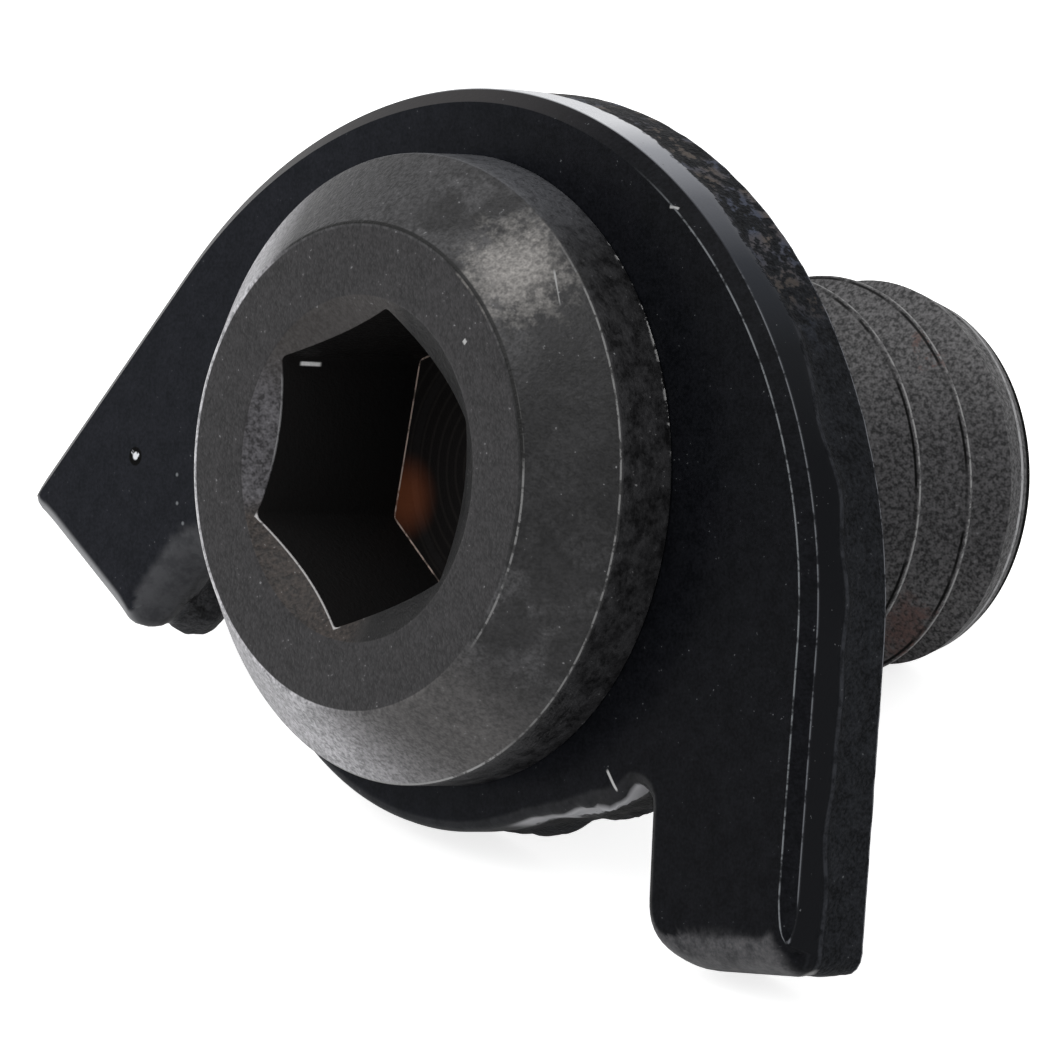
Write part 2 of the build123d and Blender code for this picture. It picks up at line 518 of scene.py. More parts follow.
def drawOutline(points):
    # walks round the plate clockwise, from the shoulder over the crown to the long arm's end
    s = plateSizes
    spot = points["shoulderStart"].copy()
    plate = startPoint(spot)

    def lineTo(point):
        nonlocal spot
        run = point - spot
        steps = max(1, round(run.length / s["spacing"]))
        for _ in range(steps):
            bpy.ops.mesh.extrude_vertices_move(TRANSFORM_OT_translate={"value": run / steps})
        spot = point.copy()

    def arcAbout(centre, turn, end):
        # a clockwise turn is positive, as spin counts it
        nonlocal spot
        length = math.radians(abs(turn)) * (spot - centre).length
        steps = max(4, round(length / s["spacing"]))
        bpy.ops.mesh.spin(steps=steps, angle=math.radians(turn), center=centre, axis=(0, 0, 1))
        spot = end.copy()

    def roundInto(corner, after, radius):
        # runs up to a rounded corner and round it
        into, away = (corner - spot).normalized(), (after - corner).normalized()
        turn = into.angle(away)
        tangent = radius * math.tan(turn / 2)
        clockwise = 1 if into.cross(away).z < 0 else -1
        lineTo(corner - into * tangent)
        centre = spot + clockwise * radius * Vector((into.y, -into.x, 0))
        arcAbout(centre, clockwise * math.degrees(turn), corner + away * tangent)

    corners = s["corners"]
    farTurn, nearTurn = s["longArm"]["turn"], s["shortArm"]["turn"]
    shoulderEnd = spoke(points["crownStart"], s["crownRadius"], points["crownCentre"])
    arcAbout(points["shoulderCentre"], s["shoulderSweep"], shoulderEnd)
    arcAbout(points["crownCentre"], points["crownStart"] - nearTurn, points["crownEnd"])
    roundInto(points["shortTip"], points["shortHeel"], corners["shortTip"])
    roundInto(points["shortHeel"], points["shortRoot"], corners["shortHeel"])
    roundInto(points["shortRoot"], points["bossEnd"], corners["shortRoot"])
    lineTo(points["bossEnd"])
    # the boss runs into the long arm's inner edge through a hollow corner
    radius = corners["longRoot"]
    inward = spoke(farTurn, 1)
    along = spoke(farTurn + 90, 1)
    reach = points["longHeel"].dot(inward) - radius
    hollow = inward * reach + along * math.sqrt((s["bossRadius"] + radius) ** 2 - reach ** 2)
    bossStop = hollow.normalized() * s["bossRadius"]
    bossTurn = math.degrees(points["bossEnd"].angle(bossStop))
    arcAbout(Vector((0, 0, 0)), bossTurn, bossStop)
    hollowTurn = math.degrees((-hollow).angle(inward))
    arcAbout(hollow, -hollowTurn, hollow + inward * radius)
    roundInto(points["longHeel"], points["longTip"], corners["longHeel"])
    roundInto(points["longTip"], points["shoulderStart"], corners["longTip"])
    lineTo(points["shoulderStart"])
    selectMesh()
    bpy.ops.mesh.remove_doubles(threshold=0.0005)
    return plate


def insetRing(plate, distance):
    # moves the selected ring, which runs clockwise, into the plate by an even distance
    mesh = bmesh.from_edit_mesh(plate.data)
    ring = [v for v in mesh.verts if v.select]
    beside = {v: [e.other_vert(v) for e in v.link_edges if e.select] for v in ring}
    first = ring[0]
    walk = [first, beside[first][0]]
    while len(walk) < len(ring):
        walk.append(next(v for v in beside[walk[-1]] if v is not walk[-2]))
    area = sum(a.co.x * b.co.y - b.co.x * a.co.y for a, b in zip(walk, walk[1:] + walk[:1]))
    if area > 0:
        walk.reverse()
    places = [v.co.copy() for v in walk]
    for index, v in enumerate(walk):
        into = places[index] - places[index - 1]
        away = places[(index + 1) % len(walk)] - places[index]
        first = Vector((into.y, -into.x, 0)).normalized()
        second = Vector((away.y, -away.x, 0)).normalized()
        # a round corner never shrinks past its centre
        turn = into.angle(away, 0) if first.cross(second).z < 0 else 0
        room = (into.length + away.length) / 2 / turn * 0.8 if turn > 0.01 else distance
        v.co += (first + second) / (1 + first.dot(second)) * min(distance, room)
    bmesh.update_edit_mesh(plate.data)


def makePlate():
    s = plateSizes
    points = plateCorners()
    plate = drawOutline(points)
    outline = walkRound(plate)
    bpy.ops.mesh.select_mode(type="EDGE")
    # wall from the clamping face up to the front, then rings for the bevel and the roll
    selectMesh()
    station = 0
    front = s["thickness"]
    for level in s["wallLevels"] + (front,):
        extrudeEdges(level - station)
        station = level
    inset = 0
    for reach in s["insets"]:
        extrudeEdges()
        insetRing(plate, reach - inset)
        inset = reach
    # hole, rolled in from the front and flared behind
    bpy.ops.mesh.select_all(action="DESELECT")
    start = (s["holeRadius"] + s["holeRoll"], front)
    bpy.ops.mesh.primitive_circle_add(
        vertices=s["holeSteps"], radius=start[0], location=(0, 0, front)
    )
    pick("EDGE", lambda edge: (edge.is_boundary or edge.is_wire) and atStation(edge, front))
    bpy.ops.mesh.fill(use_beauty=True)
    cutGrid(s["grid"])
    pick("EDGE", lambda edge: edge.is_boundary and onRing(edge, *start))
    profile = [
        (s["holeRadius"] + s["holeRoll"] * (1 - math.sin(math.radians(turn))),
         front - s["holeRoll"] * (1 - math.cos(math.radians(turn))))
        for turn in (30, 60, 90)
    ]
    flare = s["flareRadius"] - s["holeRadius"]
    profile += [(s["holeRadius"], flare), (s["flareRadius"], 0)]
    for radius, level in profile:
        start = extrudeRing(radius, level, start)
    pick("EDGE", lambda edge: edge.is_boundary and atStation(edge, 0))
    bpy.ops.mesh.fill(use_beauty=True)
    shapeSheet(plate, points, outline)
    editOff()
    takePlace(plate, "clamp_plate_stamped", s["sharpAngle"])
    return plate


def walkRound(plate):
    # places of the outline's points, in order
    mesh = bmesh.from_edit_mesh(plate.data)
    first = next(iter(mesh.verts))
    walk = [first, first.link_edges[0].other_vert(first)]
    while len(walk) < len(mesh.verts):
        beside = [edge.other_vert(walk[-1]) for edge in walk[-1].link_edges]
        walk.append(next(v for v in beside if v is not walk[-2]))
    return [v.co.copy() for v in walk]


def cutGrid(spacing):
    # squares off the selected flat faces, so that the front can be shaped
    bpy.ops.mesh.hide(unselected=True)
    selectMesh()
    mesh = bmesh.from_edit_mesh(bpy.context.object.data)
    for axis in (0, 1):
        reach = [v.co[axis] for v in mesh.verts if not v.hide]
        low, high = min(reach), max(reach)
        normal = [0, 0, 0]
        normal[axis] = 1
        for step in range(1, math.ceil((high - low) / spacing)):
            spot = [0, 0, 0]
            spot[axis] = low + step * spacing
            selectMesh()
            bpy.ops.mesh.bisect(plane_co=spot, plane_no=normal)
        mesh = bmesh.from_edit_mesh(bpy.context.object.data)
    bpy.ops.mesh.reveal(select=False)


def rollAt(point):
    # radius of the pulled-over edge near a point of the outline
    plain = radius = plateSizes["roll"]
    for centre, half, size in plateSizes["wideRolls"]:
        away = (point - Vector((*centre, 0))).length / half
        share = min(1, max(0, 2 - 2 * away))
        smooth = share ** 2 * (3 - 2 * share)
        radius = max(radius, plain + (size - plain) * smooth)
    return radius


# What each point of the sheet keeps for its finish: how far it lies inside the bevel, the
# bevel's width, how far it was pulled over, whether it is on a wall, and its height over the
# tear's border.
sheetMarks = ("inside", "bevel", "pulled", "wall", "border")


def shapeSheet(plate, points, outline):
    # a 45 degree bevel along the crown and the outer edges of the arms, and a roll pulled over
    # by the punch everywhere else; the lower part of the walls is torn and not cut
    s = plateSizes
    mesh = bmesh.from_edit_mesh(plate.data)
    front = s["thickness"]
    touching = 0.003           # a point nearer than this is on the wall
    inner = [i for i, place in enumerate(outline) if outerInset(place, points) > touching + 0.001]
    innerTree = treeOf(outline, inner)
    wholeTree = treeOf(outline, range(len(outline)))
    area = sum(a.x * b.y - b.x * a.y for a, b in zip(outline, outline[1:] + outline[:1]))
    keep = {name: mesh.verts.layers.float.new(name) for name in sheetMarks}
    for v in mesh.verts:
        flat = Vector((v.co.x, v.co.y, 0))
        v[keep["inside"]] = 2
        if flat.length < s["holeRadius"] + s["holeRoll"] + 0.01:
            continue
        spot, index, away = innerTree.find(flat)
        for other in (index - 1, (index + 1) % len(outline)):
            ends = outline[index], outline[other]
            side, share = mathutils.geometry.intersect_point_line(flat, *ends)
            if 0 <= share <= 1:
                away = min(away, (side - flat).length)
        roll = rollAt(spot)
        rolled = roll - math.sqrt(max(0, roll ** 2 - max(0, roll - away) ** 2))
        inside = outerInset(flat, points)
        bevelled = max(0, bevelAt(flat, points) - inside)
        v[keep["inside"]] = inside - bevelAt(flat, points) if inside > touching else 0
        v[keep["bevel"]] = bevelAt(flat, points) / s["outerBevel"]
        v[keep["pulled"]] = max(0, 1 - away / roll)
        onWall = min(away, abs(inside)) < touching
        v.co.z *= (front - max(rolled, bevelled)) / front
        if min(away, abs(inside)) > s["burrSpread"]:
            continue
        index = wholeTree.find(flat)[1]
        along = outline[(index + 1) % len(outline)] - outline[index - 1]
        outward = Vector((along.y, -along.x, 0)).normalized() * math.copysign(1, area)
        if not onWall:
            share = 1 - min(away, abs(inside)) / s["burrSpread"]
            v.co += outward * standOut(flat, front) * share
            continue
        border = s["tear"]["level"] + s["tear"]["wander"] * mathutils.noise.noise(flat * 0.9)
        v[keep["wall"]] = 1
        v[keep["border"]] = v.co.z - border
        v.co += outward * (standOut(flat, v.co.z) - tearDepth(flat, v.co.z, border))
    bmesh.update_edit_mesh(plate.data)


def treeOf(places, indexes):
    tree = mathutils.kdtree.KDTree(len(indexes))
    for index in indexes:
        tree.insert(places[index], index)
    tree.balance()
    return tree


def standOut(flat, level):
    # how far the burrs and dents move a point of the wall
    out = 0
    for centre, reach, middle, room, amount in plateSizes["burrs"]:
        along = (flat - Vector((*centre, 0))).length / reach
        across = abs(level - middle) / room
        grain = Vector((flat.x * 4, flat.y * 4, level * 5))
        uneven = 1 + plateSizes["burrRough"] * mathutils.noise.noise(grain)
        out += amount * uneven * max(0, 1 - along ** 2) * max(0, 1 - across ** 2)
    return out


def tearDepth(flat, level, border):
    # the break starts softly under its border
    tear = plateSizes["tear"]
    share = min(1, max(0, (border - level) / tear["soft"]))
    low = min(1, max(0, -flat.y / tear["armDrop"]))
    depth = tear["crown"] + (tear["shortArm"] - tear["crown"]) * low
    grain = Vector((flat.x * 3, flat.y * 3, level * 2.2))
    return share * (depth + tear["grain"] * mathutils.noise.fractal(grain, 0.8, 2.0, 3))


def bevelAt(point, points):
    # width of the bevel, which runs out short of the short arm's end
    endWay = spoke(plateSizes["shortArm"]["endTurn"], 1)
    start, run = plateSizes["bevelEnd"]
    share = (points["shortTip"].dot(endWay) - point.dot(endWay) - start) / run
    return plateSizes["outerBevel"] * min(1, max(0, share)) ** 0.5


def outerInset(point, points):
    # how far a point lies inside the shoulder, the crown and the arms' outer edges
    s = plateSizes
    farOut, nearOut = spoke(s["longArm"]["turn"], 1), spoke(s["shortArm"]["turn"], 1)
    if (point - points["shoulderStart"]).dot(spoke(s["longArm"]["turn"] + 90, 1)) > 0:
        return points["longTip"].dot(farOut) - point.dot(farOut)
    if (point - points["crownEnd"]).dot(spoke(s["shortArm"]["turn"] - 90, 1)) > 0:
        return points["shortTip"].dot(nearOut) - point.dot(nearOut)
    away = point - points["crownCentre"]
    turn = math.degrees(math.atan2(away.y, away.x))
    if turn > points["crownStart"]:
        radius = s["crownRadius"] + s["shoulderExtra"]
        return radius - (point - points["shoulderCentre"]).length
    return s["crownRadius"] - away.length


def addNode(tree, kind, inputs=None, **settings):
    made = tree.nodes.new("ShaderNode" + kind)
    for name, value in settings.items():
        setattr(made, name, value)
    for name, value in (inputs or {}).items():
        if isinstance(value, bpy.types.NodeSocket):
            tree.links.new(value, made.inputs[name])
        else:
            made.inputs[name].default_value = value
    return made


def newMaterial(name):
    material = bpy.data.materials.new(name)
    material.use_nodes = True
    tree = material.node_tree
    return material, tree, tree.nodes["Principled BSDF"]


def wireUp(tree, shader, tone, roughness, gloss, relief):
    # joins colour, roughness, gloss and a fine bump to the shader
    bump = addNode(tree, "Bump", {"Height": relief, "Strength": 0.6, "Distance": 0.00004})
    tree.links.new(tone, shader.inputs["Base Color"])
    tree.links.new(roughness, shader.inputs["Roughness"])
    tree.links.new(gloss, shader.inputs["Specular IOR Level"])
    tree.links.new(bump.outputs["Normal"], shader.inputs["Normal"])


def localPlace(tree):
    # place on the piece in millimetres, looking at the head
    turned = addNode(tree, "Mapping", {
        "Vector": addNode(tree, "TexCoord").outputs["Object"],
        "Rotation": boltTurn.inverted().to_euler(),
        "Scale": (1 / metresPerMm,) * 3,
    })
    return turned.outputs["Vector"]


def calc(tree, operation, *values):
    return addNode(tree, "Math", dict(enumerate(values)), operation=operation).outputs[0]


def vectorCalc(tree, operation, result, *values):
    made = addNode(tree, "VectorMath", dict(enumerate(values)), operation=operation)
    return made.outputs[result]


def angleOf(tree, x, y):
    return calc(tree, "DEGREES", calc(tree, "ARCTAN2", y, x))


def noise(tree, place, scale, detail, roughness):
    inputs = {"Vector": place, "Scale": scale, "Detail": detail, "Roughness": roughness}
    return addNode(tree, "TexNoise", inputs).outputs["Fac"]


def blend(tree, first, second, share):
    rest = calc(tree, "MULTIPLY", second, 1 - share)
    return calc(tree, "ADD", calc(tree, "MULTIPLY", first, share), rest)


def fade(tree, value, start, end, low=0, high=1):
    # runs smoothly from low to high while the value goes from start to end
    inputs = {"Value": value, "From Min": start, "From Max": end, "To Min": low, "To Max": high}
    return addNode(tree, "MapRange", inputs, interpolation_type="SMOOTHSTEP").outputs["Result"]


def invert(tree, mask):
    return fade(tree, mask, 0, 1, 1, 0)


def window(tree, value, start, end, soft):
    # 1 between start and end, 0 outside
    into = fade(tree, value, start - soft, start)
    return calc(tree, "MULTIPLY", into, fade(tree, value, end, end + soft, 1, 0))


def lineAt(tree, value, centre, inner, outer):
    # thin line where a value passes its centre
    away = calc(tree, "ABSOLUTE", calc(tree, "SUBTRACT", value, centre))
    return fade(tree, away, inner, outer, 1, 0)


def ragged(tree, grain, amount, spread=0.2):
    # a noise spread evenly about 0, which breaks up an edge
    return fade(tree, grain, 0.5 - spread, 0.5 + spread, -amount, amount)


def both(tree, *masks):
    joined = masks[0]
    for mask in masks[1:]:
        joined = calc(tree, "MULTIPLY", joined, mask)
    return joined


def either(tree, first, second):
    return calc(tree, "MAXIMUM", first, second)


def spot(tree, place, centre, inner, outer, rough=None):
    # round patch about a point; rough is a noise that breaks its edge
    away = vectorCalc(tree, "DISTANCE", "Value", place, centre)
    if rough:
        away = calc(tree, "ADD", away, rough)
    return fade(tree, away, inner, outer, 1, 0)


def stroke(tree, place, start, end, width):
    # thin straight mark between two points
    start, end = Vector(start), Vector(end)
    middle, half = (start + end) / 2, (end - start).length / 2
    offset = vectorCalc(tree, "SUBTRACT", "Vector", place, middle)
    run = vectorCalc(tree, "DOT_PRODUCT", "Value", offset, (end - start).normalized())
    whole = vectorCalc(tree, "LENGTH", "Value", offset)
    square = calc(
        tree, "SUBTRACT", calc(tree, "MULTIPLY", whole, whole), calc(tree, "MULTIPLY", run, run)
    )
    across = calc(tree, "SQRT", calc(tree, "MAXIMUM", square, 0))
    inside = fade(tree, calc(tree, "ABSOLUTE", run), half * 0.7, half, 1, 0)
    return both(tree, inside, fade(tree, across, width * 0.4, width, 1, 0))


def paint(tree, tone, mask, over):
    # lays a colour over another where the mask is set
    made = addNode(tree, "Mix", data_type="RGBA", blend_type="MIX")
    tree.links.new(mask, made.inputs[0])
    for index, colour in ((6, tone), (7, over)):
        if isinstance(colour, bpy.types.NodeSocket):
            tree.links.new(colour, made.inputs[index])
        else:
            made.inputs[index].default_value = (*colour, 1)
    return made.outputs[2]


def grade(tree, value, *stops):
    # tones at several places of a value between 0 and 1
    made = addNode(tree, "ValToRGB", {"Fac": value})
    elements = made.color_ramp.elements
    while len(elements) < len(stops):
        elements.new(1)
    for element, (position, colour) in zip(elements, stops):
        element.position, element.color = position, (*colour, 1)
    return made.outputs["Color"]


def tint(tree, value, tones, start=0.38, end=0.62):
    # from the dark one of two tones to the light one
    return grade(tree, value, (start, tones[0]), (end, tones[1]))


# Tones are linear colours, and a pair is the dark and the light end of a mottled tone. Noises
# are a scale, a detail and a roughness. Turns are angles round the bolt axis from x: where a
# patch starts, where it ends and how softly. Spots are a place, an inner and an outer radius.
boltLook = {
    "grain": (15, 1, 0.8),
    "coarse": (4.2, 3, 0.75),
    "broad": (1.2, 2, 0.6),
    "grainShare": 0.55,
    "oxide": ((0.017, 0.0165, 0.0175), (0.037, 0.0355, 0.0375)),
    "bevel": ((0.012, 0.012, 0.0125), (0.028, 0.0275, 0.029)),
    # lighter bevel: random smudges, and a painted sheen in the upper left turns
    "bevelSmudgeAndSheen": ((0.022, 0.022, 0.023), (0.066, 0.065, 0.068)),
    "bevelSheenTurns": (80, 165, 12),
    # painted shade on the bevel's right side
    "bevelShade": ((0.006, 0.006, 0.0065), (0.016, 0.016, 0.017)),
    "bevelShadeTurns": (-12, 16, 16),
    # painted reflection on the bevel's lower left
    "bevelLowReflection": ((0.045, 0.043, 0.043), (0.096, 0.092, 0.091)),
    "lowTurns": (-140, -66, 24),
    # painted reflection on the bevel's left and lower side
    "bevelReflection": ((0.22, 0.22, 0.23), (0.62, 0.61, 0.64)),
    "bevelRubbed": ((0.115, 0.110, 0.106), (0.33, 0.315, 0.30)),
    "rubbedSpot": ((2.80, 2.74, 2.97), 0.1, 1.05),
    "band": ((0.007, 0.007, 0.0075), (0.032, 0.032, 0.034)),
    # painted highlight on the upper side of the band
    "bandHighlight": (0.085, 0.087, 0.095),
    "bandHighlightTurns": (62, 130, 24),
    # painted shade inside the socket
    "socket": (0.012, 0.0115, 0.0115),
    "drillRings": ((0.013, 0.012, 0.012), (0.022, 0.020, 0.019)),
    "ringRadians": 34,         # of the sine wave that draws the drilled rings, per millimetre
    "drillRust": (0.17, 0.055, 0.026),
    "drillRustSpot": ((-2.0, -0.35, 0.75), 0.1, 0.72),
    "socketFootEdge": (0.62, 0.50, 0.44),
    "mouth": ((0.028, 0.025, 0.024), (0.052, 0.048, 0.047)),
    "mouthRough": ((0.022, 0.021, 0.023), (0.10, 0.097, 0.105)),
    "mouthBrown": ((0.010, 0.008, 0.0075), (0.052, 0.042, 0.037)),
    "brownTurns": (-164, -95, 8),
    # painted shade on the mouth's right side
    "mouthShade": (0.006, 0.006, 0.0065),
    "mouthShadeTurns": (-84, 62, 14),
    # painted highlight on the hexagon's top edge
    "hexEdgeHighlight": (0.42, 0.41, 0.41),
    "hexEdgeHighlightTurns": (-164, -103, 2),
    "hexEdgeDullHighlight": (0.16, 0.16, 0.165),
    # painted shade along the top face's edge
    "topStepShade": (0.003, 0.003, 0.003),
    "topStepShadeTurns": (4, 112, 8),
    # worn corners: radius, level, width of the line, its turns and its grey
    "wornCorners": (
        (3.475, 3.43, 0.022, (-40, 14, 10), 0.17),
        (4.43, 2.47, 0.019, (-50, 30, 20), 0.17),
        (4.43, 2.47, 0.024, (-112, -70, 12), 0.30),
    ),
    # the same without turns, for the top face's left rim, which is a painted highlight, and for the
    # underside's rim
    "wornTop": (3.45, 3.46, 0.028, 0.75),
    "wornSeat": (4.45, 1.5, 0.10, 0.42),
    "wornSeatTurns": (4, 46, 3),
    "thread": ((0.028, 0.028, 0.029), (0.104, 0.102, 0.106)),
    # painted sheen on the thread's sides
    "threadSideSheen": ((0.040, 0.040, 0.041), (0.150, 0.147, 0.150)),
    "threadRust": (0.13, 0.056, 0.042),
    "rustSpots": (((1.45, -2.25, -5.75), 0.1, 0.75), ((2.1, 1.7, -5.8), 0.05, 0.32)),
    # painted highlight on the crests
    "crest": (0.27, 0.27, 0.27),
    # painted shade beside the crests
    "crestShade": (0.005, 0.005, 0.005),
    # darker tone at the tip's outer edge
    "tipDirt": (0.008, 0.008, 0.008),
    # painted highlight on the tip's rim
    "tipHighlight": (0.36, 0.36, 0.37),
    "dust": (0.17, 0.17, 0.175),
    # nick on the bevel, scratch in the socket and fleck on the top: ends, width and grey
    "scratches": (
        ((3.25, 2.75, 2.65), (3.50, 2.20, 2.75), 0.020, 0.28),
        ((-1.685, 1.515, 3.02), (-1.685, 1.505, 2.58), 0.04, 1.0),
        ((2.26, 1.76, 3.45), (2.31, 1.70, 3.45), 0.05, 0.4),
    ),
}


def boltZones(tree):
    # places, noises and the parts of the bolt that take a tone of their own
    look, sizes = boltLook, boltSizes
    on = SimpleNamespace(place=localPlace(tree))
    parts = addNode(tree, "SeparateXYZ", {"Vector": on.place}).outputs
    on.level = parts["Z"]
    flat = vectorCalc(tree, "MULTIPLY", "Vector", on.place, (1, 1, 0))
    on.radius = vectorCalc(tree, "LENGTH", "Value", flat)
    on.angle = angleOf(tree, parts["X"], parts["Y"])
    on.turnAway = calc(tree, "ABSOLUTE", on.angle)
    on.grain = noise(tree, on.place, *look["grain"])
    on.coarse = noise(tree, on.place, *look["coarse"])
    on.broad = noise(tree, on.place, *look["broad"])
    on.mottle = blend(tree, on.grain, on.coarse, look["grainShare"])
    # patchy noise that breaks up both rubbed lines and painted highlights
    on.worn = fade(tree, on.coarse, 0.42, 0.52, 0.15, 1)
    # head, from the 45 degree bevel down
    aboveBand = fade(tree, on.level, sizes["bandTop"] - 0.01, sizes["bandTop"] + 0.02)
    bevelSum = sizes["topRadius"] + sizes["headTop"]
    sum45 = calc(tree, "ADD", on.radius, on.level)
    on.bevel = both(tree, window(tree, sum45, bevelSum - 0.04, bevelSum + 0.04, 0.02), aboveBand)
    outside = fade(tree, on.radius, sizes["headRadius"] - 0.03, sizes["headRadius"] - 0.01)
    on.band = both(tree, outside, invert(tree, aboveBand))
    on.thread = fade(tree, on.level, 0.2, 0.3, 1, 0)
    # socket: mouth, flats and drill point, and the distance across the hexagon
    slope = math.tan(math.radians(sizes["coneAngle"]))
    rim = sizes["mouthRadius"]
    cone = calc(tree, "SUBTRACT", on.radius, calc(tree, "MULTIPLY", on.level, slope))
    onCone = lineAt(tree, cone, rim - sizes["headTop"] * slope, 0.025, 0.035)
    on.mouth = both(
        tree, onCone, fade(tree, on.level, 3.0, 3.1),
        fade(tree, on.radius, rim - 0.019, rim - 0.003, 1, 0),
    )
    corner = sizes["hexFlat"] / math.cos(math.radians(30))
    on.socket = both(
        tree, fade(tree, on.radius, corner + 0.02, corner + 0.05, 1, 0),
        window(tree, on.level, 0.2, sizes["headTop"] - 0.03, 0.02), invert(tree, on.mouth),
    )
    foot = sizes["socketFoot"]
    on.drilled = both(tree, on.socket, fade(tree, on.level, foot + 0.002, foot + 0.015, 1, 0))
    side = calc(tree, "FLOORED_MODULO", calc(tree, "SUBTRACT", on.angle, sizes["hexTurn"]), 60)
    side = calc(tree, "RADIANS", calc(tree, "SUBTRACT", side, 30))
    on.across = calc(tree, "MULTIPLY", on.radius, calc(tree, "COSINE", side))
    return on


def oxideTones(tree, on):
    # black oxide, grainy and mottled; the bevel and the band carry painted reflections, highlights
    # and shade by their turn about the axis
    look = boltLook

    def turned(name):
        return window(tree, on.angle, *look[name])

    tone = tint(tree, on.mottle, look["oxide"])
    # random smudges from the broad noise, joined with a painted sheen on the bevel's upper left
    smudgeAndSheen = either(tree, fade(tree, on.broad, 0.44, 0.6), turned("bevelSheenTurns"))
    bevel = tint(tree, on.mottle, look["bevel"])
    bevel = paint(tree, bevel, smudgeAndSheen, tint(tree, on.mottle, look["bevelSmudgeAndSheen"]))
    tone = paint(tree, tone, on.bevel, bevel)
    # painted shade: the bevel darker on its right side
    dim = both(tree, on.bevel, turned("bevelShadeTurns"), fade(tree, on.broad, 0.36, 0.56, 1, 0.8))
    tone = paint(tree, tone, dim, tint(tree, on.mottle, look["bevelShade"]))
    # painted reflection: the bevel lighter on its lower left
    low = both(tree, on.bevel, turned("lowTurns"))
    tone = paint(tree, tone, low, tint(tree, on.mottle, look["bevelLowReflection"]))
    # painted reflection of the bright surround, along the bevel's left and up from the bottom
    sheen = calc(tree, "SUBTRACT", calc(tree, "MULTIPLY", on.radius, 9), on.angle)
    sheen = fade(tree, sheen, 100, 150)
    sheen = both(tree, sheen, sheen, fade(tree, on.angle, 0, 20, 1, 0))
    sheen = both(tree, on.bevel, either(tree, fade(tree, on.turnAway, 112, 135), sheen))
    tone = paint(tree, tone, sheen, tint(tree, on.mottle, look["bevelReflection"]))
    tone = paint(tree, tone, on.band, tint(tree, on.coarse, look["band"], 0.36, 0.64))
    # painted highlight on the band's upper side, mottled
    sheen = both(
        tree, on.band, turned("bandHighlightTurns"), fade(tree, on.mottle, 0.36, 0.56, 0.5, 1)
    )
    tone = paint(tree, tone, sheen, look["bandHighlight"])
    # thread, lighter towards its sides: a painted sheen
    sides = fade(tree, calc(tree, "ABSOLUTE", calc(tree, "ADD", on.angle, 6)), 10, 46)
    thread = tint(tree, on.grain, look["thread"], 0.34, 0.66)
    thread = paint(tree, thread, sides, tint(tree, on.grain, look["threadSideSheen"], 0.34, 0.66))
    tone = paint(tree, tone, on.thread, thread)
    rubbed = spot(tree, on.place, *look["rubbedSpot"], ragged(tree, on.coarse, 0.3))
    rubbedTone = tint(tree, on.mottle, look["bevelRubbed"], 0.36, 0.66)
    return paint(tree, tone, both(tree, on.bevel, rubbed), rubbedTone)


def socketTones(tree, on, tone):
    # painted shade on the flats, turned rings and rust at the drill point, and a bright edge round it
    look = boltLook
    tone = paint(tree, tone, on.socket, look["socket"])
    rings = calc(tree, "SINE", calc(tree, "MULTIPLY", on.radius, look["ringRadians"]))
    tone = paint(tree, tone, on.drilled, tint(tree, rings, look["drillRings"], 0.5, 1.0))
    rusty = both(tree, on.drilled, spot(tree, on.place, *look["drillRustSpot"]))
    tone = paint(tree, tone, rusty, look["drillRust"])
    flat, footLevel = boltSizes["hexFlat"], boltSizes["socketFoot"]
    foot = both(
        tree, on.socket, window(tree, on.level, footLevel - 0.002, footLevel + 0.006, 0.003),
        fade(tree, on.across, flat - 0.025, flat - 0.015), fade(tree, on.turnAway, 124, 138),
        fade(tree, on.coarse, 0.38, 0.52, 0.25, 1),
    )
    tone = paint(tree, tone, foot, look["socketFootEdge"])
    # mouth: rough on the left, brown below, and painted shade on the right
    left = fade(tree, on.turnAway, 132, 156)
    for name, span, patch in (
        ("mouth", (0.38, 0.62), None),
        ("mouthRough", (0.40, 0.62), left),
        ("mouthBrown", (0.40, 0.66), window(tree, on.angle, *look["brownTurns"])),
    ):
        mask = both(tree, on.mouth, patch) if patch else on.mouth
        tone = paint(tree, tone, mask, tint(tree, on.mottle, look[name], *span))
    dark = both(tree, on.mouth, window(tree, on.angle, *look["mouthShadeTurns"]))
    tone = paint(tree, tone, dark, look["mouthShade"])
    # painted highlight along the hexagon's top edge, bright below and dull at the left, broken by
    # noise
    edge = both(
        tree, on.mouth, fade(tree, on.across, flat + 0.006, flat + 0.022, 1, 0),
        fade(tree, on.coarse, 0.36, 0.5, 0.3, 1),
    )
    below = both(tree, edge, window(tree, on.angle, *look["hexEdgeHighlightTurns"]))
    tone = paint(tree, tone, below, look["hexEdgeHighlight"])
    return paint(tree, tone, both(tree, edge, fade(tree, on.angle, 138, 146)), look["hexEdgeDullHighlight"])


